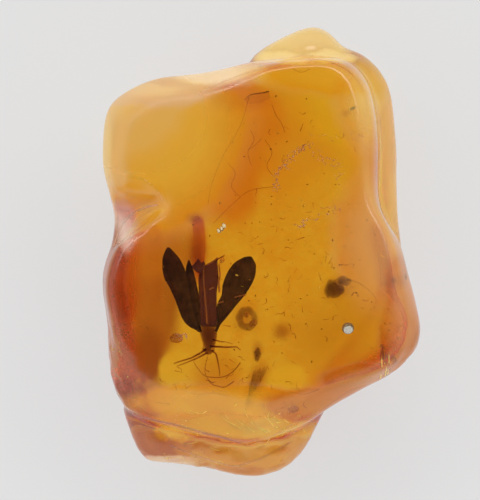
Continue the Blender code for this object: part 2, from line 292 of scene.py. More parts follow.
def add(tree, kind, settings=None, **links):
    """Adds a shader node. Settings are its properties or socket values, links feed its sockets."""
    node = tree.nodes.new("ShaderNode" + kind)
    for key, value in (settings or {}).items():
        if isinstance(key, str) and hasattr(node, key) and key not in node.inputs:
            setattr(node, key, value)
        else:
            node.inputs[key].default_value = value
    for key, source in links.items():
        socket = node.inputs[int(key[1:])] if key[1:].isdigit() else node.inputs[key.replace("_", " ")]
        tree.links.new(source, socket)
    return node


def new_finish(name, colour, **values):
    """A finish with its colour and its shader's other uniform values."""
    finish = bpy.data.materials.new(name)
    finish.use_nodes = True
    sockets = finish.node_tree.nodes["Principled BSDF"].inputs
    sockets["Base Color"].default_value = linear(colour)
    for key, value in values.items():
        sockets[key.replace("_", " ")].default_value = value
    return finish


def feed(finish, value, source):
    """Lets a pattern give one of the finish's values."""
    tree = finish.node_tree
    tree.links.new(source, tree.nodes["Principled BSDF"].inputs[value])


def soak(finish, colour, density):
    """Gives clear matter a colour that deepens with the light's way through it."""
    tree = finish.node_tree
    dye = add(tree, "VolumeAbsorption", {"Color": linear(colour), "Density": density})
    tree.links.new(dye.outputs["Volume"], tree.nodes["Material Output"].inputs["Volume"])
    return finish


def in_millimetres(tree):
    """The place on the piece in millimetres."""
    place = add(tree, "TexCoord")
    return add(
        tree, "VectorMath", {"operation": "SCALE", "Scale": 1 / MM}, Vector=place.outputs["Object"],
    ).outputs["Vector"]


def zone(tree, place, layer, middle, halves, soft):
    """A soft-edged region of a layer: 1 well inside the ellipsoid, 0 outside it."""
    height, depth = layer
    offset = add(tree, "VectorMath", {"operation": "SUBTRACT", 1: (*middle, height)}, Vector=place)
    stretched = add(
        tree, "VectorMath", {"operation": "DIVIDE", 1: (*halves, depth)}, Vector=offset.outputs[0],
    )
    reach = add(tree, "VectorMath", {"operation": "LENGTH"}, Vector=stretched.outputs[0])
    return add(
        tree, "MapRange",
        {"interpolation_type": "SMOOTHSTEP", "From Min": 1 + soft, "From Max": 1 - soft},
        Value=reach.outputs["Value"],
    ).outputs["Result"]


def sunk_colour(name, colour, density, index=1.0):
    """Matter soaked by the resin, seen only by the colour that it takes out of the light."""
    clear = new_finish(name, "#FFFFFF", Transmission_Weight=1.0, IOR=index, Roughness=0.0)
    return soak(clear, colour, density)


# Layers of the stone: height of the middle and half the depth, in millimetres.
THROUGH = (11.0, 40.0)
FRONT = (11.0, 6.0)
LOW = (5.0, 8.0)

FLOW_SIZE = 4.5454545  # millimetres between the swirls that bend the borders of the zones
DRIFT = 1.2  # millimetres that a border is moved by them, at most
LAYER_SIZE = 2.0  # millimetres between the faint layers of the resin
GROUND, RUBBED, POLISHED = 0.35, 0.3, 0.05  # roughness

# Where the resin's colour turns: name, layer, middle, half sizes, softness of the border, tint.
AMBER_TINTS = [
    ("upper_right", THROUGH, (4.4, 10), (5, 5), 0.5, "#FFFCC0"),
    ("plume_right", THROUGH, (1.4, 8.2), (2.4, 4), 0.8, "#FAD8A8"),
    ("plume", THROUGH, (-0.5, 9.2), (2.3, 3.6), 0.3, "#F6C490"),
    ("plume_foot", THROUGH, (-2.2, 5.2), (2.1, 3), 0.25, "#F4C08C"),
    ("plume_core", THROUGH, (-0.8, 7.8), (1, 2), 0.6, "#F4C08C"),
    ("rust", THROUGH, (-10, -4.4), (3.9, 6), 0.14, "#C8988C"),
    ("left_foot", THROUGH, (-9.8, -11.4), (3.2, 3), 0.5, "#B89686"),
    ("dark_foot_spot", THROUGH, (-11, -11.2), (1, 1.4), 0.6, "#744850"),
    ("rust_head", THROUGH, (-7.6, -0.2), (3.4, 2.2), 0.4, "#DCB0A0"),
    ("rust_foot", THROUGH, (-8.8, -8.4), (1.2, 2.4), 0.5, "#B07868"),
    ("rust_patch", THROUGH, (-10.8, -5.8), (0.8, 0.6), 0.5, "#E8B890"),
    ("lower_right", THROUGH, (7, -7), (4.5, 3.5), 0.6, "#ECD4A4"),
    ("right_rim", THROUGH, (10.8, -7.6), (2, 4.2), 0.5, "#F8E2BC"),
    ("rim_shade", THROUGH, (11.9, -7), (0.7, 1.6), 0.6, "#CCA890"),
    ("left_window", THROUGH, (-6.4, -9.5), (1.5, 1.4), 0.2, "#FFFFE8"),
    ("under_head", THROUGH, (-3.4, -9.6), (1.8, 1.6), 0.5, "#EED0A4"),
    ("right_window", THROUGH, (2, -10.2), (1.6, 1.6), 0.25, "#FFFFE8"),
    ("seam_haze", THROUGH, (3.4, 7.5), (2.2, 1.4), 0.7, "#FAE4C8"),
    ("right_pillar", THROUGH, (7.6, 5), (1.2, 6), 0.5, "#FFE6C8"),
    ("right_groove", THROUGH, (9.6, 7), (1.3, 8), 0.4, "#FFE8A4"),
    ("lobe", LOW, (-3, -17.4), (10, 3.6), 0.15, "#F0D4B0"),
]
# Where fine bubbles make it cloudy, and where pale patches are painted in as sheen, glints and reflections
# on slopes and crests: name, layer, middle, half sizes, softness, share, colour.
AMBER_CLOUDS = [
    ("upper_left", THROUGH, (-8.9, 9.7), (6.6, 7.2), 0.45, 0.55, "#FFD040"),
    ("upper_left_corner", THROUGH, (-11.4, 12.4), (4, 4), 0.6, 0.6, "#FFD868"),
    ("left_edge", THROUGH, (-13, 8.4), (2, 6.5), 0.6, 0.7, "#FFDC74"),
    ("notch_lip", THROUGH, (-9.8, 4.4), (1.8, 0.9), 0.5, 0.4, "#FFCC38"),
    # Painted reflection: the pale band in the notch's groove.
    ("notch", (12, 5), (-11.7, 1.4), (1.5, 1.8), 0.5, 0.6, "#FFF0E0"),
    ("rust_edge", THROUGH, (-12.6, -4.6), (1.7, 5.8), 0.5, 0.3, "#A85C20"),
    ("left_foot", (11, 8), (-11.6, -8.6), (1.4, 3.4), 0.5, 0.35, "#B47048"),
    ("foot_corner", FRONT, (-11, -12), (1.6, 1.5), 0.6, 0.4, "#8C5438"),
    # Painted sheen: a pale peach patch on the right slope of the face.
    ("right_shoulder_sheen", THROUGH, (9.6, 1), (3, 4.4), 0.6, 0.3, "#FCD890"),
    ("rear_right", (4, 5), (10.4, 8), (2.2, 9), 0.3, 0.5, "#FFD870"),
    # Pale bands on the lower bevel: milky resin, with a painted sheen.
    ("foot_band_milk_and_sheen", THROUGH, (-2.4, -12), (6.5, 1.3), 0.5, 0.35, "#FFCC30"),
    ("crest_band_milk_and_sheen", FRONT, (-1.6, -13.9), (6.5, 1.2), 0.5, 0.4, "#FFD030"),
    ("right_rim", THROUGH, (11.4, -8), (1.6, 3.6), 0.6, 0.25, "#D08830"),
    ("foot_right", THROUGH, (5.6, -12), (4, 1.2), 0.6, 0.25, "#D89040"),
    ("bevel_right", FRONT, (8.2, -10), (2.8, 1.1), 0.6, 0.45, "#D08C28"),
    # Painted sheen: the pale cream bands along the top bevel, above the top crest, and along the upper left
    # rim.
    ("top_left_edge_sheen", FRONT, (-3.8, 13.9), (4, 1.3), 0.5, 0.85, "#FFE0AC"),
    ("upper_left_rim_sheen", FRONT, (-8.4, 12.4), (3.6, 0.9), 0.7, 0.7, "#FFDC90"),
    ("top_middle_edge_sheen", FRONT, (1, 15.5), (3, 0.9), 0.4, 0.85, "#FFDCA8"),
    ("top_right_edge_sheen", FRONT, (6, 15.7), (3, 0.9), 0.4, 0.8, "#FFD088"),
    ("right_corner", THROUGH, (9.2, 12.8), (2.2, 3.4), 0.9, 0.6, "#FFDC74"),
    ("top_right_glow", FRONT, (6, 13.7), (4.4, 1.2), 1, 0.3, "#FFD040"),
    # Painted glints: a bright yellow patch at the foot crest.
    ("crest_glint_highlight", FRONT, (0.8, -14.2), (1.6, 0.8), 0.7, 0.5, "#FFDC50"),
    ("right_flank", THROUGH, (11.3, -3.6), (1.2, 2.8), 0.6, 0.35, "#E8A860"),
    ("top_lump", (4.5, 4), (3.5, 17), (5, 2.4), 0.5, 0.7, "#FFE090"),
    ("lobe", LOW, (-3, -17.4), (9, 3), 0.2, 0.35, "#E4A058"),
    ("lobe_left", LOW, (-9.6, -16), (2.6, 2.6), 0.4, 0.45, "#C47850"),
    ("lobe_gold", LOW, (-7, -14.4), (1.3, 0.8), 0.4, 0.6, "#FFC838"),
    ("lobe_middle", LOW, (-1.2, -16), (2.6, 1), 0.6, 0.5, "#F8C058"),
    # Painted sheen: a whitish-peach band along the lower rim of the lobe.
    ("lobe_rim_sheen", (3, 6), (-7.6, -16.9), (2.6, 0.5), 0.6, 0.7, "#FFE4CC"),
]


def polished_amber():
    """Fossil resin, tumbled and polished by hand: a glassy skin, honey to rust where light comes through."""
    finish = new_finish("polished_amber", "#FFFFFF", Transmission_Weight=1.0, IOR=1.54)
    tree = finish.node_tree
    place = in_millimetres(tree)
    flow = add(
        tree, "TexNoise", {"Scale": 1 / FLOW_SIZE, "Detail": 5.0, "Roughness": 0.55},
        Vector=place,
    )
    drift = add(
        tree, "VectorMath",
        {"operation": "MULTIPLY_ADD", 1: (2 * DRIFT,) * 3, 2: (-DRIFT,) * 3}, Vector=flow.outputs["Color"],
    )
    swirled = add(
        tree, "VectorMath", {"operation": "ADD"}, Vector=place, _1=drift.outputs[0],
    ).outputs[0]
    layers = add(
        tree, "TexNoise",
        {"Scale": 1 / LAYER_SIZE, "Detail": 6.0, "Roughness": 0.6, "Distortion": 0.8}, Vector=place,
    )
    bands = add(tree, "MapRange", {"From Min": 0.36, "From Max": 0.62}, Value=layers.outputs["Fac"])
    colour = add(
        tree, "Mix", {"data_type": "RGBA", 6: linear("#FAE4C4"), 7: linear("#FFFFFF")},
        Factor=bands.outputs["Result"],
    ).outputs[2]
    for name, layer, middle, halves, soft, tint in AMBER_TINTS:
        mask = zone(tree, swirled, layer, middle, halves, soft)
        colour = add(
            tree, "Mix", {"label": name, "data_type": "RGBA", 7: linear(tint)},
            Factor=mask, _6=colour,
        ).outputs[2]
    cloud = add(tree, "Value").outputs[0]
    for name, layer, middle, halves, soft, share, tint in AMBER_CLOUDS:
        mask = zone(tree, swirled, layer, middle, halves, soft)
        dyed = add(tree, "MapRange", {"From Max": 0.3}, Value=mask).outputs["Result"]
        colour = add(
            tree, "Mix", {"label": name, "data_type": "RGBA", 7: linear(tint)},
            Factor=dyed, _6=colour,
        ).outputs[2]
        patch = add(tree, "Math", {"operation": "MULTIPLY", 1: share}, _0=mask)
        cloud = add(tree, "Math", {"operation": "MAXIMUM"}, _0=cloud, _1=patch.outputs[0]).outputs[0]
    feed(finish, "Base Color", colour)
    clear = add(tree, "Math", {"operation": "SUBTRACT", 0: 1.0}, _1=cloud)
    feed(finish, "Transmission Weight", clear.outputs[0])
    # Ground matt near the rest face, rubbed a little dull at the upper left, polished elsewhere.
    height = add(tree, "SeparateXYZ", Vector=place).outputs["Z"]
    ground = add(
        tree, "MapRange",
        {
            "interpolation_type": "SMOOTHSTEP", "From Min": 4.0, "From Max": 8.0,
            "To Min": GROUND, "To Max": POLISHED,
        },
        Value=height,
    )
    handled = zone(tree, place, THROUGH, (-9.5, 10.5), (6.5, 5.5), 0.3)
    rubbed = add(tree, "Math", {"operation": "MULTIPLY", 1: RUBBED}, _0=handled)
    rough = add(
        tree, "Math", {"operation": "MAXIMUM"}, _0=ground.outputs["Result"], _1=rubbed.outputs[0],
    )
    feed(finish, "Roughness", rough.outputs[0])
    return soak(finish, "#FFEB10", 280.0)


# ---- The clear stone ----

PARTING = (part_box("amber_back")[1].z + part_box("amber_front")[0].z) / 2
LEVEL = PARTING / MM  # the height at which the insect and the other finds lie
TRIM = 0.35 * MM  # taken off each half beside the parting, with what the pockets leave
SKIN_MESH = 0.25 * MM
POLISHING = 14


def outer_skin(node_name, name, upper):
    """The outside of one half, open along the parting."""
    skin = copy_of_node(node_name, name)
    open_mesh()
    level = PARTING + TRIM if upper else PARTING - TRIM
    bpy.ops.mesh.bisect(plane_co=(0, 0, level), plane_no=(0, 0, 1), clear_inner=upper, clear_outer=not upper)
    bpy.ops.mesh.select_all(action="DESELECT")
    close_mesh()
    reach = [corner.co.x for corner in skin.data.vertices]
    skin.data.vertices[reach.index(max(reach))].select = True
    bpy.ops.object.mode_set(mode="EDIT")
    bpy.ops.mesh.select_mode(type="VERT")
    bpy.ops.mesh.select_linked()
    bpy.ops.mesh.select_all(action="INVERT")
    bpy.ops.mesh.delete(type="VERT")
    close_mesh()
    return skin


def region(stone, name, centre, radii, strength):
    """A named part of the skin, as strong as is said of the reach, which is 1 on the ellipsoid."""
    group = stone.vertex_groups.new(name=name)
    for corner in stone.data.vertices:
        offset = corner.co / MM - Vector(centre)
        weight = strength(math.hypot(*(offset[axis] / radii[axis] for axis in range(3))))
        if weight > 0:
            group.add([corner.index], min(1.0, weight), "REPLACE")


def creased(stone, name, centre, radii, size, height):
    """Small creases left by the polishing in one region of the skin."""
    region(stone, name, centre, radii, lambda reach: 2.5 * (1 - reach))
    clouded(stone, size, height, name).vertex_group = name


def softened(stone, name, centre, radii, passes):
    """One region of the skin rounded further, as if handled more."""
    region(stone, name, centre, radii, lambda reach: min(1.0, 1.3 - reach) ** 3)
    rounding = stone.modifiers.new(name, "SMOOTH")
    rounding.factor = 0.5
    rounding.iterations = passes
    rounding.vertex_group = name


def crested(stone, name, line, width, height, low):
    """A soft crest along a line drawn across the front, above the lowest level."""
    group = stone.vertex_groups.new(name=name)
    run = bent([(x, y, 0.0) for x, y in line], 8)
    left, right = (pick(stop.x for stop in run) for pick in (min, max))
    foot, head = (pick(stop.y for stop in run) for pick in (min, max))
    for corner in stone.data.vertices:
        x, y, z = corner.co / MM
        if z < low or not (left - width < x < right + width and foot - width < y < head + width):
            continue
        reach = min(math.hypot(x - stop.x, y - stop.y) for stop in run) / width
        if reach < 1:
            group.add([corner.index], (1 - reach ** 2) ** 2, "REPLACE")
    crest = stone.modifiers.new(name, "DISPLACE")
    crest.direction = "Z"
    crest.strength = height * MM
    crest.mid_level = 0.0
    crest.vertex_group = name


NOTCH_LIP = [(-10.5, 5.8), (-9.2, 5.6), (-8.2, 4.8), (-7.7, 3.9)]


def clear_stone():
    """The whole nugget in one clear piece: both outer skins joined along the parting and polished."""
    stone = outer_skin("amber_back", "amber_stone", upper=False)
    lid = outer_skin("amber_front", "amber_lid", upper=True)
    joined("amber_stone", [stone, lid])
    bpy.ops.object.mode_set(mode="EDIT")
    bpy.ops.mesh.select_mode(type="EDGE")
    bpy.ops.mesh.select_all(action="DESELECT")
    bpy.ops.mesh.select_non_manifold(extend=False, use_boundary=True, use_wire=False, use_multi_face=False)
    bpy.ops.mesh.bridge_edge_loops()
    face_outwards()
    skin = stone.modifiers.new("even_mesh", "REMESH")
    skin.mode = "VOXEL"
    skin.voxel_size = SKIN_MESH
    polish = stone.modifiers.new("polish", "SMOOTH")
    polish.factor = 0.5
    polish.iterations = POLISHING
    apply_all(stone)
    softened(stone, "soft_upper_left", (-11.5, 10.0, 12.5), (7.0, 6.4, 4.5), 160)
    softened(stone, "soft_foot", (0.0, 0.0, 0.0), (15.0, 21.0, 2.6), 80)
    softened(stone, "soft_right", (9.0, 9.5, 12.0), (4.2, 8.4, 5.5), 200)
    softened(stone, "soft_right_rim", (11.2, -5.5, 13.0), (3.2, 6.5, 4.0), 120)
    creased(stone, "left_bevel_creases", (-10.8, -9.0, 11.5), (2.2, 6.0, 3.4), 0.9, 0.3)
    creased(stone, "right_rim_creases", (10.6, -7.6, 10.5), (2.4, 4.0, 4.4), 1.2, 0.16)
    creased(stone, "lobe_creases", (-2.6, -15.8, 7.6), (8.6, 3.0, 3.6), 1.6, 0.5)
    creased(stone, "foot_creases", (-0.6, -13.4, 12.0), (6.0, 2.2, 2.8), 1.2, 0.16)
    crested(stone, "notch_lip", NOTCH_LIP, 0.5, 0.12, 9.0)
    apply_all(stone)
    bpy.ops.object.shade_smooth()
    return dress(stone, polished_amber(), "amber", "amber_back", "amber_front")


amber_stone = clear_stone()


WELL_ABOVE = 50
STEEPEST = 0.2  # how far up the steepest skin still faces


def skin(x, y, depth=0.0):
    """The place under x and y that lies this deep below the stone's front, or None past its rim."""
    found, spot, facing, _ = amber_stone.ray_cast(at(x, y, WELL_ABOVE), Vector((0, 0, -1)))
    return (x, y, spot.z / MM - depth) if found and facing.z > STEEPEST else None


def on_skin(line, depth):
    """A line laid this deep below the stone's front, as far as the front reaches."""
    return [place for place in (skin(x, y, depth) for x, y in line) if place]


# ---- The insect ----

# Wings: the two edges of each, from the root outwards.
LEFT_FOREWING = (
    [
        (-5.2, -6.4), (-5.75, -6.1), (-6.2, -5.6), (-6.85, -4.4), (-7.4, -3.2), (-7.86, -2.4),
        (-8.02, -1.5), (-7.93, -0.65), (-7.5, 0.05),
    ],
    [
        (-4.9, -6.5), (-5.1, -5.9), (-5.3, -5.4), (-5.6, -4.1), (-5.8, -3), (-6.1, -1.65), (-6.3, -1.2),
        (-6.6, -0.6), (-7.3, 0.08),
    ],
)
RIGHT_FOREWING = (
    [
        (-3.8, -6.4), (-3.62, -5.9), (-3.6, -5.2), (-3.5, -4.4), (-3.15, -3.6), (-3.05, -2.7), (-2.7, -1.7),
        (-2.1, -1), (-1.35, -0.55), (-0.8, -0.44),
    ],
    [
        (-3.6, -6.45), (-3.3, -5.95), (-2.75, -5.3), (-2.2, -4.6), (-1.6, -3.95), (-1.13, -3.35),
        (-0.68, -2.6), (-0.42, -1.9), (-0.38, -1.1), (-0.66, -0.48),
    ],
)
LEFT_HINDWING = (
    [
        (-5.1, -6.5), (-5.6, -5.9), (-5.8, -4.75), (-6, -3.15), (-6.1, -2.05), (-6.04, -1.25),
        (-5.88, -0.72),
    ],
    [
        (-4.8, -6.5), (-4.86, -6), (-4.84, -5.3), (-4.9, -4.1), (-5.08, -2.75), (-5.32, -1.75),
        (-5.76, -0.74),
    ],
)
RIGHT_HINDWING = (
    [(-4.86, -6.1), (-4.94, -5.5), (-4.94, -4.75), (-4.92, -3.15), (-4.84, -1.95), (-4.5, -1.3)],
    [(-3.62, -6.1), (-3.57, -5.5), (-3.55, -4.7), (-3.5, -3.5), (-3.36, -2.1), (-3.42, -0.7)],
)
WING_FOLD = (
    [(-5.55, -1.3), (-5.2, -1), (-4.95, -0.7), (-4.7, -1.05), (-4.45, -0.85)],
    [(-5.45, -1.45), (-5.15, -1.75), (-4.9, -1.85), (-4.65, -1.7), (-4.45, -1.6)],
)
FOREWING_Z = LEVEL + 0.22
HINDWING_Z = LEVEL - 0.12
MEMBRANE = 0.08
VEIN = 0.07
VEIN_RISE = Vector((0, 0, 0.05))
KNEE_RISE = Vector((0, 0, 0.06))
# The bulging face magnifies what lies this deep by about 4 %, so it is laid smaller: factor, shift.
ACROSS = (0.957, 0.03)
UP = (0.966, 0.045)


def edge_at(edge, height):
    """A line as it shows through the face, laid at its depth."""
    return [(ACROSS[0] * x + ACROSS[1], UP[0] * y + UP[1], height) for x, y in edge]


def wing(name, edges, height, shares, wave):
    """A membrane with a few raised veins that run from its root to its rim."""
    near, far = (edge_at(edge, height) for edge in edges)
    membrane = sheet(name, near, far, MEMBRANE, rows=10)
    clouded(membrane, 1.3, wave, name + "_wave")
    apply_all(membrane)
    parts = [membrane]
    for share in shares:
        run = [Vector(a).lerp(Vector(b), share) + VEIN_RISE for a, b in zip(near, far)]
        parts.append(wire(name + "_vein", run[:-1], VEIN, ends=(1.2, 0.5)))
    return joined(name, parts)


def leg(name, stops, thickness):
    """A jointed leg: each stretch is a wire that thins towards the next joint."""
    stretches = []
    for index, (start, end) in enumerate(zip(stops, stops[1:])):
        share = 1.0 - 0.22 * index
        middle = (Vector(start) + Vector(end)) / 2 + KNEE_RISE
        stretches.append(wire(name, [start, middle, end], thickness * share, ends=(1.15, 0.75)))
    return stretches


# Legs and feelers: stops from the body outwards, thickness.
LEGS = [
    ([(-4.5, -7.9), (-5, -8.25), (-5.7, -8.6), (-7.05, -9.05)], 0.22),
    ([(-4.4, -8.2), (-5.2, -8.6), (-6, -8.9), (-6.85, -9.25)], 0.17),
    ([(-4.2, -7.7), (-2.95, -7.7), (-2, -7.62), (-1.65, -7.9)], 0.2),
    ([(-4, -7.1), (-3.3, -7.25), (-2.9, -7.25), (-2.3, -7.4)], 0.15),
    ([(-4.1, -8), (-3.75, -8.3), (-3.45, -9.6), (-3.4, -10.05)], 0.17),
]
FEELERS = [
    [
        (-4.4, -8.2), (-5.5, -8.75), (-5.1, -9.45), (-4.7, -9.9), (-4.1, -10.1), (-3.1, -10.1),
        (-2.3, -9.7), (-1.7, -9),
    ],
    [(-4.35, -8.2), (-4.6, -9.6), (-4.1, -10.55), (-3.55, -10.8), (-2.9, -10.9), (-2.2, -10.5)],
]


def insect_wings(chitin):
    """Both forewings and the left hindwing."""
    parts = [
        wing("left_forewing", LEFT_FOREWING, FOREWING_Z, (0.2, 0.45, 0.7), 0.14),
        wing("right_forewing", RIGHT_FOREWING, FOREWING_Z, (0.25, 0.5, 0.75), 0.14),
        wing("left_hindwing", LEFT_HINDWING, HINDWING_Z, (0.35, 0.7), 0.1),
    ]
    return dress(joined("insect_wings", parts), chitin, "chitin", "insect")


def pale_hindwing(finish):
    """The see-through right hindwing, and the crumpled base of the left one over the abdomen."""
    parts = [wing("pale_hindwing", RIGHT_HINDWING, HINDWING_Z, (0.2, 0.6), 0.1)]
    for up, shift in ((0.34, 0.0), (0.5, 0.06), (0.64, -0.05)):
        edges = [[(x + shift, y - shift) for x, y in edge] for edge in WING_FOLD]
        parts.append(wing("wing_fold", edges, HINDWING_Z + up, (0.5,), 0.2))
    return dress(joined("pale_hindwing", parts), finish, "chitin", "insect")


def insect_body(finish):
    """Thorax, neck and head, with the eyes."""
    thorax = ringed_body("insect_body", [
        (-4.1, -5.78, 0.6, 0.3), (-4.1, -5.88, 0.72, 0.42), (-4.08, -6.2, 0.72, 0.5),
        (-4.04, -6.7, 0.6, 0.52), (-4.06, -7.15, 0.48, 0.44), (-4.08, -7.35, 0.44, 0.4),
        (-4.1, -7.6, 0.46, 0.42), (-4.1, -7.85, 0.36, 0.32), (-4.1, -8.05, 0.14, 0.14),
    ], LEVEL)
    clouded(thorax, 0.5, 0.08)
    apply_all(thorax)
    eyes = [
        lump("eye", (-4.12 + side * 0.33, -7.6, LEVEL + 0.14), (0.16, 0.2, 0.16), detail=3, height=0.01)
        for side in (-1, 1)
    ]
    return dress(joined("insect_body", [thorax, *eyes]), finish, "chitin", "insect")


def insect_legs(finish):
    """Five legs and two feelers."""
    parts = []
    for stops, thickness in LEGS:
        parts += leg("leg", edge_at(stops, LEVEL - 0.02), thickness)
    for stops in FEELERS:
        parts.append(wire("feeler", edge_at(stops, LEVEL), 0.12, ends=(0.5, 1.0)))
    return dress(joined("insect_legs", parts), finish, "chitin", "insect")


def soft_spot(name, centre, radii, turn):
    """A lens that thins out to nothing at its rim: half of its profile drawn and spun about Z."""
    profile = [(0.0, 1.0), (0.3, 0.8), (0.55, 0.42), (0.8, 0.12), (1.0, 0.0)]
    profile += [(reach, -height) for reach, height in profile[-2::-1]]
    spot = drawn_line(name, bent([(reach, 0.0, height) for reach, height in profile]))
    open_mesh()
    bpy.ops.mesh.spin(steps=32, angle=2 * math.pi, center=(0, 0, 0), axis=(0, 0, 1))
    bpy.ops.mesh.select_all(action="SELECT")
    bpy.ops.mesh.remove_doubles(threshold=0.005 * MM)
    face_outwards()
    spot.scale = radii
    spot.rotation_euler = (0, 0, math.radians(turn))
    spot.location = at(*centre)
    settle(spot)
    bpy.ops.object.shade_smooth()
    return spot


def soft_abdomen(finish):
    """The long abdomen, see-through and ringed, in a wider stain that fades out."""
    stops = [(-4.78, 2.8, 0.24, 0.2)]
    for ring in range(6):
        y = 2.5 - ring * 0.72
        x = -4.76 + 0.04 * ring
        wide = 0.5 - 0.02 * ring
        stops.append((x, y, wide, wide * 0.8))
        stops.append((x + 0.03, y - 0.5, wide * 0.9, wide * 0.7))
    stops.append((-4.5, -2.1, 0.2, 0.15))
    parts = [
        ringed_body("soft_abdomen", stops, LEVEL, sides=16),
        soft_spot("stain", (-4.75, 0.3, LEVEL - 0.4), (0.85, 3.0, 0.34), 0),
        soft_spot("stain", (-4.65, -1.6, LEVEL - 0.8), (0.6, 1.5, 0.3), 0),
    ]
    return dress(joined("soft_abdomen", parts), finish, "chitin", "insect")


def pale_folds(finish):
    """Dry edges that catch the light: a fold and rims of the pale hindwing, and cracks over the wings."""
    lines = [
        [(-4.5, -1.3), (-4.5, -2.6), (-4.45, -4.0), (-4.4, -5.9)],
        [(-4.5, -1.3), (-3.9, -1.05), (-3.4, -0.68)],
        [(-3.35, -1.2), (-3.25, -1.9), (-3.35, -2.6), (-3.3, -3.4)],
        [(-3.48, -4.3), (-3.0, -4.1)], [(-2.2, -3.8), (-1.3, -3.6)], [(-4.1, -3.2), (-3.75, -3.0)],
    ]
    parts = [wire("fold", edge_at(line, LEVEL + 0.42), 0.15, ends=(0.6, 1.0)) for line in lines]
    return dress(joined("pale_folds", parts), finish, "chitin", "insect")


CHITIN_PATCH = 0.9  # millimetres between patches of the wings' colour


def dried_chitin():
    """Wings dried to a dull film with air under it: blue-grey in patches, black-brown through the resin."""
    finish = new_finish("dried_wing_chitin", "#463A50", Roughness=0.55, IOR=1.2)
    tree = finish.node_tree
    patches = add(
        tree, "TexNoise", {"Scale": 1 / CHITIN_PATCH, "Detail": 5.0, "Roughness": 0.6},
        Vector=in_millimetres(tree),
    )
    mask = add(tree, "MapRange", {"From Min": 0.35, "From Max": 0.75}, Value=patches.outputs["Fac"])
    colours = add(
        tree, "Mix", {"data_type": "RGBA", 6: linear("#463A50"), 7: linear("#6E5C78")},
        Factor=mask.outputs["Result"],
    )
    feed(finish, "Base Color", colours.outputs[2])
    return finish


insect_wings(dried_chitin())
# A single wing layer with a film of air on it: it shines blue, and purple-brown through the resin.
pale_hindwing(new_finish(
    "thin_wing_membrane", "#8C68E8", Roughness=0.4, Transmission_Weight=0.35, IOR=1.05,
))
# The body is hollow and cleared by the resin: brown where it is thick.
insect_body(sunk_colour("cleared_body_chitin", "#A86458", 3400.0, index=1.03))
# Legs and feelers: single tubes of red-brown chitin, which light passes.
insect_legs(sunk_colour("leg_chitin", "#B04020", 16000.0))
# Body fluids that stained the resin red before it set.
soft_abdomen(sunk_colour("red_body_stain", "#E02C10", 1700.0))
# Air got under these edges, so they scatter the light.
pale_folds(new_finish("lifted_wing_edge", "#D8B8FF", Roughness=0.5, Transmission_Weight=0.5, IOR=1.05))

# ---- Crumbs and grains, each in a pocket of its own ----


def room_of(node_name):
    """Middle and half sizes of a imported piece, in millimetres."""
    low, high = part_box(node_name)
    return (low + high) / 2 / MM, (high - low) / 2 / MM


def dark_pellet(finish):
    """Two clotted lobes and a curled tail."""
    (x, y, z), _ = room_of("dark_pellet")
    parts = [
        lump("pellet", (x - 0.3, y - 0.1, z), (0.82, 0.7, 0.34), 4, size=0.5, height=0.4),
        lump("pellet", (x + 0.4, y + 0.42, z + 0.1), (0.58, 0.36, 0.26), -8, size=0.3, height=0.24),
        wire("tail", [
            (x + 0.7, y + 0.5, z), (x + 1.4, y + 0.35, z), (x + 2.3, y - 0.35, z), (x + 2.75, y - 1.1, z),
            (x + 2.6, y - 1.8, z),
        ], 0.16, ends=(1.2, 0.4)),
    ]
    return dress(joined("clotted_pellet", parts), finish, "dark_plant_matter", "dark_pellet")


def ring_crumb(finish):
    """A soft ring of plant matter."""
    (x, y, z), (wide, _, _) = room_of("ring_crumb")
    lay_down_tools()
    bpy.ops.mesh.primitive_torus_add(
        location=at(x, y, z), major_radius=wide * 0.62 * MM, minor_radius=wide * 0.3 * MM,
        major_segments=56, minor_segments=20,
    )
    ring = just_made("plant_ring")
    ring.scale = (1.0, 1.0, 0.7)
    settle(ring)
    clouded(ring, 0.55, 0.3, "ring_skin")
    apply_all(ring)
    bpy.ops.object.shade_smooth()
    return dress(ring, finish, "brown_plant_matter", "ring_crumb")


def ring_core(finish):
    """Pale crumbs in the middle and on the lower rim of the ring."""
    (x, y, z), _ = room_of("ring_crumb")
    parts = [
        lump("core", (x - 0.05, y + 0.25, z + 0.3), (0.2, 0.17, 0.14), 0, size=0.15, height=0.1, detail=3),
        lump("core", (x + 0.5, y - 0.35, z + 0.26), (0.34, 0.26, 0.16), 30, size=0.2, height=0.14, detail=3),
    ]
    return dress(joined("ring_core", parts), finish, "pale_mineral")


def bark_shred(finish):
    """A torn shred: splinters side by side, with grains stuck on."""
    (x, y, z), (_, tall, _) = room_of("bark_shred")
    chance = random.Random("shred")
    parts = []
    for number in range(7):
        across = (number - 3) * 0.13
        up, out = chance.uniform(-0.25, 0.25), chance.uniform(-0.15, 0.15)
        length = chance.uniform(0.5, 1.0) * tall
        parts.append(lump(
            "splinter", (x + across, y + across * 0.35 + up, z + out), (0.13, length, 0.12),
            -18 + chance.uniform(-9, 9), size=0.3, height=0.16, detail=3,
        ))
    return dress(joined("torn_bark", parts), finish, "brown_plant_matter", "bark_shred")


def plain_crumb(name, node_name, finish, slot, size=0.3, height=0.22):
    """A single crumb with a broken skin, in the room of its node."""
    centre, radii = room_of(node_name)
    return dress(lump(name, centre, radii * 0.92, 0, size, height), finish, slot, node_name)


def grain_column(finish):
    """A short stack of dark grains."""
    (x, y, z), (_, tall, _) = room_of("grain_column")
    chance = random.Random("column")
    parts = []
    for number in range(11):
        along = (number / 10 - 0.5) * 1.8 * tall
        parts.append(lump(
            "grain", (x + chance.uniform(-0.12, 0.12), y + along, z + chance.uniform(-0.12, 0.12)),
            (chance.uniform(0.12, 0.24), chance.uniform(0.1, 0.2), 0.15), chance.uniform(0, 180),
            size=0.15, height=0.1, detail=2,
        ))
    return dress(joined("grain_stack", parts), finish, "dark_plant_matter", "grain_column")


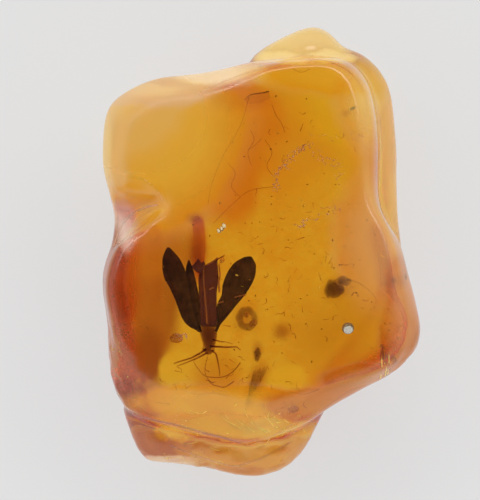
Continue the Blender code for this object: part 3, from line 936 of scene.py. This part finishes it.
def bark_flake(finish, rim_finish):
    """A translucent flake with a dark upper edge."""
    (x, y, z), _ = room_of("bark_flake")
    upper = [
        (x - 1.0, y - 0.25, z), (x - 0.5, y + 0.15, z + 0.05), (x + 0.3, y + 0.3, z), (x + 0.9, y + 0.45, z),
    ]
    lower = [
        (x - 0.7, y - 0.6, z), (x - 0.3, y - 0.55, z), (x + 0.35, y - 0.45, z), (x + 0.95, y - 0.1, z),
    ]
    dress(sheet("thin_flake", upper, lower, 0.1), finish, "brown_plant_matter", "bark_flake")
    edge = wire("flake_edge", upper, 0.12, ends=(0.6, 1.2))
    return dress(edge, rim_finish, "dark_plant_matter")


# Rotted wood and frass, soaked through by the resin: brown where thin, black where thick.
rotted = sunk_colour("rotted_wood", "#744A2C", 2600.0)
soft_wood = sunk_colour("resin_soaked_wood", "#8A5C28", 2600.0)
ring_matter = sunk_colour("soaked_plant_ring", "#95736E", 2300.0)
dust = sunk_colour("frass_dust", "#944820", 16000.0)
# Air-filled crumbs scatter the light and stay pale, pinkish where the resin is over them.
pale_mineral = new_finish(
    "pale_air_filled_crumb", "#F8E8F0", Roughness=0.4, Transmission_Weight=0.35, IOR=1.1,
)
dark_pellet(rotted)
ring_crumb(ring_matter)
ring_core(pale_mineral)
bark_shred(soft_wood)
plain_crumb("rotted_grain", "dark_grain", rotted, "dark_plant_matter", 0.2, 0.16)
plain_crumb("wood_cone", "brown_cone", soft_wood, "brown_plant_matter")
plain_crumb("airy_crumb", "pale_crumb", pale_mineral, "pale_mineral")
plain_crumb("small_airy_crumb", "pink_crumb", pale_mineral, "pale_mineral", 0.2, 0.16)
grain_column(rotted)
# A flake of bark so thin that light passes it, only a little dulled.
bark_flake(new_finish("thin_bark", "#F8F0E4", Roughness=0.5, IOR=1.0, Transmission_Weight=0.9), dust)

# ---- What else the resin holds: bubble, flow lines, fibres, specks, cracks and glints ----


def strewn(chance, count, centre, radii, depths):
    """Places strewn over an ellipse, denser in its middle, between two depths below the skin."""
    places = []
    for _ in range(count):
        angle = chance.uniform(0, 2 * math.pi)
        reach = chance.random() ** 0.6
        x = centre[0] + radii[0] * reach * math.cos(angle)
        y = centre[1] + radii[1] * reach * math.sin(angle)
        places.append(skin(x, y, chance.uniform(*depths)))
    return [place for place in places if place]


def sprinkled(name, models, places, sizes, chance, tilt=0.5):
    """Small models copied to the places, each turned and sized at random, joined in one mesh."""
    twins = []
    for place in places:
        lean = chance.uniform(-tilt, tilt), chance.uniform(-tilt, tilt)
        turn = Euler((*lean, chance.uniform(0, 2 * math.pi))).to_quaternion()
        size = chance.uniform(*sizes)
        twins.append(copy_of(chance.choice(models), turn, Vector((size, size, size)), place))
    for model in models:
        bpy.data.objects.remove(model)
    return joined(name, twins)


def fibre_models():
    """Four short curled hairs, round the origin."""
    routes = (
        [(-0.45, 0, 0), (-0.15, 0.1, 0.03), (0.15, -0.05, 0), (0.45, 0.06, 0.04)],
        [(-0.35, -0.1, 0), (0, 0.12, 0.02), (0.35, -0.12, 0)],
        [(-0.3, 0, 0), (0.05, 0.02, 0.02), (0.2, 0.2, 0), (0.12, 0.34, 0.03)],
        [(-0.4, 0.05, 0), (0.4, -0.05, 0.05)],
    )
    return [wire("fibre", route, 0.08, ends=(1.2, 0.5)) for route in routes]


def fine_fibres(finish):
    """Hair-thin plant fibres strewn through the middle, the foot and the head of the stone."""
    chance = random.Random("fibres")
    places = strewn(chance, 84, (1.8, -2.8), (6.8, 4.8), (0.6, 4.0))
    places += strewn(chance, 60, (-1.6, -10.4), (6.4, 2.2), (0.4, 3.0))
    places += strewn(chance, 24, (2.0, 6.6), (5.4, 5.0), (0.6, 4.0))
    fibres = sprinkled("fine_fibres", fibre_models(), places, (0.3, 0.9), chance)
    return dress(fibres, finish, "brown_plant_matter")


# Larger dark specks that lie apart from the rest.
SPECKS = [
    (-2.2, 8.8), (-1.6, 9), (-0.5, 10), (-1.3, 9.9), (0.8, 7.9), (-3.2, 3.7), (0.8, 3.6), (-0.1, 2.2),
    (1.6, 1.6), (5.2, 3), (3.6, 11.9), (5.7, -1.4), (3.1, -3.7), (7.9, -3.9), (6, -5), (6.5, -5.2),
    (2.1, 0.8), (1.2, 12.1), (-2.2, 8.4), (-4.5, 10.4),
]


def dark_specks(finish):
    """Grains of dust: some that lie apart, many more strewn about, and one larger fleck."""
    chance = random.Random("specks")
    models = [lump("speck", (0, 0, 0), (0.1, 0.06, 0.06), 0, size=0.08, height=0.06, detail=2)]
    places = [skin(x, y, chance.uniform(1.5, 3.5)) for x, y in SPECKS]
    places += strewn(chance, 80, (1.6, -1.0), (8.0, 9.6), (0.8, 4.0))
    specks = sprinkled("dark_specks", models, places, (0.35, 1.1), chance)
    fleck = lump("fleck", (7.08, 11.16, 11.6), (0.26, 0.12, 0.1), 28, size=0.12, height=0.1, detail=3)
    return dress(joined("dark_specks", [specks, fleck]), finish, "dark_plant_matter")


# Seams where one flow of resin met the next: points across the face.
FLOW_SEAMS = [
    [(1.2, 4.8), (1.2, 5.9), (1.9, 6.6), (2.5, 7.5), (3.2, 8), (4, 8.4)],
    [(4.2, 7.7), (4.9, 7.2), (6, 6.8), (6.1, 5.6)],
    [(2.8, 8.8), (4.8, 9), (7, 9), (7.9, 9.1)],
    [(2.8, 1.9), (3.6, 2.2), (5, 3), (6.1, 3.1)],
]
SEAM_LEVEL = 11.8
THIN_SEAMS = [
    [(-3.7, 2.2), (-2, 3.8), (-0.8, 4.7), (1, 5)],
    [(-0.9, 12), (-1.5, 10), (-2.1, 8.8), (-3, 7.2), (-3.8, 5.3), (-4.1, 3.7)],
    [(-1, 7.8), (-0.4, 8.2), (0.1, 8.7)],
    [(2.5, 14.2), (3.2, 13.95), (3.9, 14.2)],
    [(0.9, 11.4), (1.2, 10.6), (1.6, 10), (1.9, 9.2)],
    [(-0.8, 9.4), (-0.5, 8.6), (-1, 7.6), (-0.7, 6.6)],
    [(0.4, 8.6), (0.9, 7.6), (0.5, 6.6), (0.9, 5.9)],
    [(-2.6, 6.8), (-2, 6), (-2.3, 5), (-1.6, 4.2)],
]


def along(points, count, spread, chance, depths):
    """Places strewn along a curve, between two depths below the skin."""
    curve = bent([(x, y, 0.0) for x, y in points], 8)
    places = []
    for _ in range(count):
        spot = chance.choice(curve)
        places.append(skin(
            spot.x + chance.gauss(0, spread), spot.y + chance.gauss(0, spread), chance.uniform(*depths),
        ))
    return [place for place in places if place]


def seam_sparkle(finish):
    """Pale pinkish bubbles and flakes caught along the seams."""
    chance = random.Random("sparkle")
    models = [
        lump("bubble_dust", (0, 0, 0), (0.16, 0.08, 0.04), 0, size=0.08, height=0.05, detail=2),
        wire("seam_streak", [(-0.3, 0, 0), (0, 0.05, 0), (0.3, -0.02, 0)], 0.06, ends=(0.5, 1.2)),
    ]
    places = []
    for seam, count in zip(FLOW_SEAMS, (120, 44, 16, 34)):
        places += along(seam, count, 0.17, chance, (0.3, 1.0))
    places += strewn(chance, 30, (-6.3, -6.75), (0.55, 0.36), (0.4, 0.8))
    places += strewn(chance, 12, (2.2, -12.1), (0.5, 0.3), (0.3, 0.6))
    sparkle = sprinkled("seam_sparkle", models, places, (0.3, 0.8), chance, tilt=0.7)
    return dress(sparkle, finish, "pale_mineral")


def seam_lines(finish):
    """Thin seams, seen as hair lines at one level in the upper part of the stone."""
    parts = []
    for seam in THIN_SEAMS:
        parts.append(wire("seam", [(x, y, SEAM_LEVEL) for x, y in seam], 0.045, ends=(0.6, 0.6)))
    return dress(joined("seam_lines", parts), finish, "brown_plant_matter")


def bubble_disc(finish):
    """The round bubble near the face."""
    bubble = lump("bubble", (6.84, -6.1, 13.84), (0.48, 0.46, 0.14), 0, size=0.5, height=0.03, detail=4)
    return dress(bubble, finish, "pale_mineral")


def white_crumbs(finish):
    """The white crumb beside the body: three bits side by side, just under the front."""
    chance = random.Random("bits")
    bit = lump("white_crumb", (0, 0, 0), (0.24, 0.18, 0.14), 0, size=0.3, height=0.1, detail=3)
    places = on_skin([(-3.05, 1.7), (-2.9, 1.95), (-3.3, 1.55)], 0.08)
    return dress(sprinkled("white_crumb", [bit], places, (0.8, 1.0), chance), finish, "pale_mineral")


def glints(finish):
    """Tiny cracks and flat bubbles with a painted glint: the light they catch, yellow through the resin, is
    in their colour.
    """
    chance = random.Random("glints")
    models = [
        lump("glint", (0, 0, 0), (0.08, 0.18, 0.04), 0, size=0.08, height=0.04, detail=2),
        wire("glint", [(-0.3, 0, 0), (0.05, 0.08, 0), (0.32, 0, 0)], 0.07, ends=(0.4, 1.2)),
    ]
    lone = [(7.56, 8.2), (7.56, 3.7), (6.9, 3.3), (1.3, 9.2), (2.4, 6.4), (1.4, 4.1)]
    places = on_skin(lone, 0.8)
    places += along([(0.4, -13.1), (0.9, -13.6), (1.6, -14.0), (2.0, -14.3)], 60, 0.25, chance, (0.0, 0.15))
    for count, centre, radii, depths in (
        (60, (-9.6, -4.6), (2.6, 5.4), (0.05, 0.6)),
        (40, (-11.0, -9.0), (1.0, 3.6), (0.05, 0.3)),
        (40, (3.0, -2.0), (7.0, 7.0), (0.5, 3.0)),
        (120, (-1.0, -13.4), (7.0, 1.5), (0.0, 0.3)),
        (40, (10.0, -7.6), (1.2, 3.0), (0.1, 1.0)),
        (40, (-4.0, -16.0), (5.0, 1.4), (0.0, 0.2)),
    ):
        places += strewn(chance, count, centre, radii, depths)
    return dress(sprinkled("glints", models, places, (0.25, 0.8), chance, tilt=0.7), finish, "pale_mineral")


def column_streaks(finish):
    """Upright strain cracks between the stack of grains and the skin, with their bright glint painted in."""
    parts = []
    for x, upper, lower in ((9.5, -8.2, -10.1), (9.7, -7.6, -10.2), (9.88, -8.7, -9.9), (10.06, -7.9, -9.8)):
        line = on_skin([(x, upper), (x + 0.03, (upper + lower) / 2), (x, lower)], 0.03)
        parts.append(wire("streak", line, 0.13, ends=(0.3, 0.9)))
    return dress(joined("column_streaks", parts), finish, "pale_mineral")


# Cracks drawn across the front, the curved ones in a fan side by side.
FAN = [(-0.9, 0.8), (-0.55, 0.25), (0.05, -0.25), (0.75, -0.6)]
LONG_CRACKS = [
    [(-9.6, -11.4), (-8.4, -11.9), (-7.2, -12.1)],
    [(-6.4, -10.9), (-5, -11.3), (-3.6, -11.2), (-2.4, -11.5)],
    [(2, -11), (3.4, -11.3), (4.6, -10.9)], [(-4, -12.2), (-3.2, -12.5), (-2.2, -12.4)],
    # The last line here is the dark upper rim of a small pit at the upper left: painted shade.
    [(-11, 8.86), (-10.7, 9.2), (-10.3, 9.36), (-9.96, 9.26)],
]
# Painted glints: lines drawn only as bright yellow cracks.
LIT_CRACKS = [
    [(0.6, -12.6), (0.45, -13.2), (0.9, -13.9)], [(1.15, -12.4), (0.95, -13.1), (1.4, -13.6)],
    [(1.6, -12.7), (1.7, -13.3), (2.1, -13.6)], [(-5.6, -12.6), (-4.9, -12.9), (-4.4, -12.7)],
    [(-6.8, -15), (-6.2, -15.4), (-5.2, -15.3)], [(-4.6, -15.5), (-3.4, -16), (-2.6, -15.9)],
    # The last line here is the bright lower rim of that pit: a painted highlight.
    [(-0.6, -15.9), (0.2, -15.5), (0.6, -15)], [(-11, 8.76), (-10.8, 8.86), (-10.3, 8.9), (-9.9, 9.16)],
]


def crack_fan():
    """Curved cracks side by side, no two of the same length, in the foot of the stone."""
    chance = random.Random("fan")
    fan = []
    for number in range(11):
        size = chance.uniform(0.55, 1.05)
        x = -2.6 + 0.27 * number + chance.uniform(-0.1, 0.1)
        y = -13.6 - 0.04 * number + chance.uniform(-0.2, 0.2)
        fan.append([(x + size * across, y + size * up + chance.uniform(-0.06, 0.06)) for across, up in FAN])
    return fan


# Crests drawn across the front, for the painted highlights along them.
TOP_CREST = [
    (-4.6, 12.5), (-3.1, 13.2), (-1.3, 13.9), (0.8, 14.5), (2.4, 15), (3.6, 15.1), (4.7, 15), (6.4, 14.7),
]
FOOT_CREST = [
    (-10.9, -12.3), (-9.5, -13.1), (-6.9, -13.7), (-4.4, -14.4), (-2.2, -15), (-1.3, -15.3), (0.4, -15),
    (2.4, -13.8), (4.9, -12.6), (6.8, -11.2), (8.4, -10.7),
]
LOBE_CREST = [(-7.2, -15.5), (-5.1, -16.4), (-2.8, -17.1), (-1.8, -17.2), (0.2, -16.5), (2.4, -15.3)]
NOTCH_FOOT = [(-8.1, 3.6), (-9.4, 3.3), (-10.6, 2.5), (-11.3, 1.3), (-11.6, 0.3)]
CREVICE = [(-8.2, 3.4), (-9.1, 2.9), (-9.96, 2.3), (-10.6, 1.4)]
# Line, width, how deep it is sunk.
CREST_HIGHLIGHT_BANDS = [
    (TOP_CREST, 0.14, 0.03), (FOOT_CREST, 0.12, 0.03), (LOBE_CREST, 0.2, 0.05), (NOTCH_LIP, 0.12, 0.03),
    (NOTCH_FOOT, 0.3, 0.08),
]
PINKISH_CREST_HIGHLIGHT = ([(x, y - 0.04) for x, y in FOOT_CREST[:6]], 0.44, 0.14)


def cracks(name, lines, shift, depth, thickness, finish, slot):
    """Fine cracks just below the front, each along its line moved over by the shift."""
    parts = []
    for line in lines:
        run = on_skin([(x + shift, y) for x, y in line], depth)
        parts.append(wire("crack", run, thickness, ends=(0.3, 0.8)))
    return dress(joined(name, parts), finish, slot)


def bands_on_skin(name, bands, finish, slot):
    """Bands drawn across the front, each of a width and sunk by a depth, half in the skin."""
    parts = []
    for line, width, sunk in bands:
        run = [stop.xy for stop in bent([(x, y, 0.0) for x, y in line], 6)]
        parts.append(wire(name, on_skin(run, sunk), width, ends=(0.5, 0.5), steps=1))
    return dress(joined(name, parts), finish, slot)


def twig(finish, bud_finish):
    """A bent twig with a bud beside the body."""
    parts = [
        wire("twig", [(-3.5, -0.95, 10.0), (-3.1, -0.65, 10.0), (-2.7, -0.42, 10.0)], 0.11, ends=(1.2, 0.8)),
        wire("twig", [(-3.0, -0.7, 10.0), (-3.1, -1.3, 10.0), (-3.15, -1.7, 10.0)], 0.08, ends=(1.0, 0.6)),
    ]
    dress(joined("twig", parts), finish, "brown_plant_matter")
    bud = lump("bud", (-2.9, -0.8, 10.0), (0.16, 0.24, 0.14), -20, size=0.12, height=0.08, detail=3)
    return dress(bud, bud_finish, "brown_plant_matter")


def brown_haze(finish):
    """Stained resin round the finds: soft brown clouds."""
    parts = [
        soft_spot("haze", centre, radii, turn) for centre, radii, turn in (
            ((1.56, -6.2, 9.6), (0.95, 0.95, 0.9), 0),
            ((5.9, -3.0, 9.4), (1.5, 1.1, 0.9), 15),
            ((-1.15, -5.25, 10.2), (1.6, 1.5, 0.6), 0),
            ((-0.25, -10.0, 9.9), (1.1, 2.1, 0.9), -18),
            ((-0.2, -7.7, 9.9), (0.6, 1.1, 0.9), 0),
            ((6.6, 10.8, 11.2), (0.6, 0.4, 0.5), 28),
            ((9.9, -2.5, 10.2), (0.9, 0.8, 0.6), 0),
            ((-5.0, 2.6, 9.3), (0.9, 0.6, 0.8), 0),
            ((-4.95, -0.6, 9.3), (1.0, 2.6, 0.8), 0),
        )
    ]
    return dress(joined("brown_haze", parts), finish, "brown_plant_matter")


# Plant hairs: red-brown, soaked, thin enough to look soft.
hair = sunk_colour("soaked_plant_hair", "#BC3820", 28000.0)
# Gas in the resin: a bright skin where the index drops, whitish with a pink cast under the honey.
gas = new_finish("trapped_gas", "#FFE0D4", Roughness=0.5)
# Painted glint: a bright honey-yellow finish that stands in for the light which air-filled cracks throw
# back.
painted_glint_finish = new_finish("painted_glint_finish", "#FFE46C", Roughness=0.25)
fine_fibres(hair)
dark_specks(dust)
seam_sparkle(gas)
# Dust that dried on a flow of resin before the next one came: a soft brown line.
seam_lines(new_finish("resin_seam", "#B0603A", Roughness=0.5, IOR=1.1, Transmission_Weight=0.4))
# The wall of a gas bubble throws back the pale light: a greyish white disc.
bubble_disc(new_finish("bubble_skin", "#CCC6B8", Roughness=0.5))
# Loose matter full of air: dull and creamy white.
white_crumbs(new_finish("white_crumb", "#ECD4A0", Roughness=0.8))
glints(painted_glint_finish)
column_streaks(painted_glint_finish)
foot_fan = crack_fan()
cracks("dark_cracks", foot_fan + LONG_CRACKS, 0.0, 0.05, 0.1, dust, "dark_plant_matter")
# A bright yellow copy of every other crack of the fan, moved over beside it, with the lines above: painted
# glints.
cracks("lit_cracks", foot_fan[::2] + LIT_CRACKS, 0.12, 0.02, 0.08, painted_glint_finish, "pale_mineral")
twig(hair, gas)
# Painted highlight: a pale, matt band along each crest, which lets part of the light through.
crest_highlight_finish = new_finish("painted_crest_highlight", "#F8D0B0", Roughness=0.6, Transmission_Weight=0.4, IOR=1.05)
bands_on_skin("painted_crest_highlights", CREST_HIGHLIGHT_BANDS, crest_highlight_finish, "pale_mineral")
# A wider band along the left of the foot crest: painted highlight, duller and pinkish.
pinkish_highlight_finish = new_finish("pinkish_crest_highlight", "#E0A898", Roughness=0.6, Transmission_Weight=0.4, IOR=1.05)
bands_on_skin("pinkish_crest_highlight", [PINKISH_CREST_HIGHLIGHT], pinkish_highlight_finish, "pale_mineral")
# A dark line along the crevice below the notch, in the dark dust finish: painted shade.
bands_on_skin("notch_crevice_shade", [(CREVICE, 0.14, 0.05)], dust, "dark_plant_matter")
# Tannin stain: brown by absorption alone, so its edges fade.
brown_haze(sunk_colour("tannin_stain", "#C08048", 520.0))

# ---- Floor, light and camera ----

FLOOR_GAP = 0.02  # millimetres, so that the stone's flat doesn't lie in the floor
FLOOR_GLOW = 0.575
LAMP_GLOW = 3.5
# The lamp as a band round the tent: height (0 at the foot, 1 overhead) and share of its glow.
LAMP_BAND = [(0.0, 0.0), (0.64, 0.0), (0.68, 1.0), (0.74, 1.0), (0.78, 0.0)]


def pale_floor():
    """The opal plate of a light table, lit softly from below."""
    bpy.ops.mesh.primitive_plane_add(size=1.2, location=at(0, 0, -FLOOR_GAP))
    floor = settle(just_made("floor"))
    floor.data.materials.append(new_finish(
        "opal_light_table", "#808080", Roughness=0.9,
        Emission_Color=linear("#FFFFFF"), Emission_Strength=FLOOR_GLOW,
    ))


def soft_light():
    """A light tent: pale walls, a dark lens opening overhead and a curved lamp behind it."""
    world = bpy.data.worlds.new("light_tent")
    world.use_nodes = True
    tree = world.node_tree
    way = add(tree, "TexCoord").outputs["Generated"]
    height = add(tree, "SeparateXYZ", Vector=way).outputs["Z"]
    walls = add(
        tree, "MapRange",
        {
            "interpolation_type": "SMOOTHSTEP", "From Min": 0.5, "From Max": 0.97,
            "To Min": 1.1, "To Max": 0.08,
        },
        Value=height,
    ).outputs["Result"]
    ring = add(tree, "ValToRGB", Fac=height)
    while len(ring.color_ramp.elements) < len(LAMP_BAND):
        ring.color_ramp.elements.new(0.5)
    for element, (place, strength) in zip(ring.color_ramp.elements, LAMP_BAND):
        element.position = place
        element.color = (strength, strength, strength, 1.0)
    depth = add(tree, "SeparateXYZ", Vector=way).outputs["Y"]
    behind = add(tree, "MapRange", {"From Min": 0.1, "From Max": 0.5}, Value=depth)
    lamp = add(tree, "Math", {"operation": "MULTIPLY"}, _0=ring.outputs["Color"], _1=behind.outputs[0])
    strength = add(
        tree, "Math", {"operation": "MULTIPLY_ADD", 1: LAMP_GLOW}, _0=lamp.outputs[0], _2=walls,
    )
    tent = tree.nodes["Background"]
    tent.inputs["Color"].default_value = (1.0, 1.0, 1.0, 1.0)
    tree.links.new(strength.outputs[0], tent.inputs["Strength"])
    bpy.context.scene.world = world


SCALE = 0.08 * MM  # one pixel of the frame, at the middle of the stone's depth
FRAME_WIDTH, FRAME_HEIGHT = 480, 500
STONE_MIDDLE = (260.5, 250.5)  # where the stone's middle falls in the frame, in pixels
DISTANCE = 0.32


def camera_above():
    """Looks straight down on the broad face."""
    lens = bpy.data.cameras.new("camera")
    camera = bpy.data.objects.new("camera", lens)
    bpy.context.scene.collection.objects.link(camera)
    lens.lens = lens.sensor_width * DISTANCE / (FRAME_HEIGHT * SCALE)
    lens.clip_start = 0.01
    lens.clip_end = 5.0
    camera.location = (
        (FRAME_WIDTH / 2 - STONE_MIDDLE[0]) * SCALE,
        (STONE_MIDDLE[1] - FRAME_HEIGHT / 2) * SCALE,
        DISTANCE + 0.008,
    )
    bpy.context.scene.camera = camera


pale_floor()
soft_light()
camera_above()
bpy.context.scene.view_settings.view_transform = "Standard"
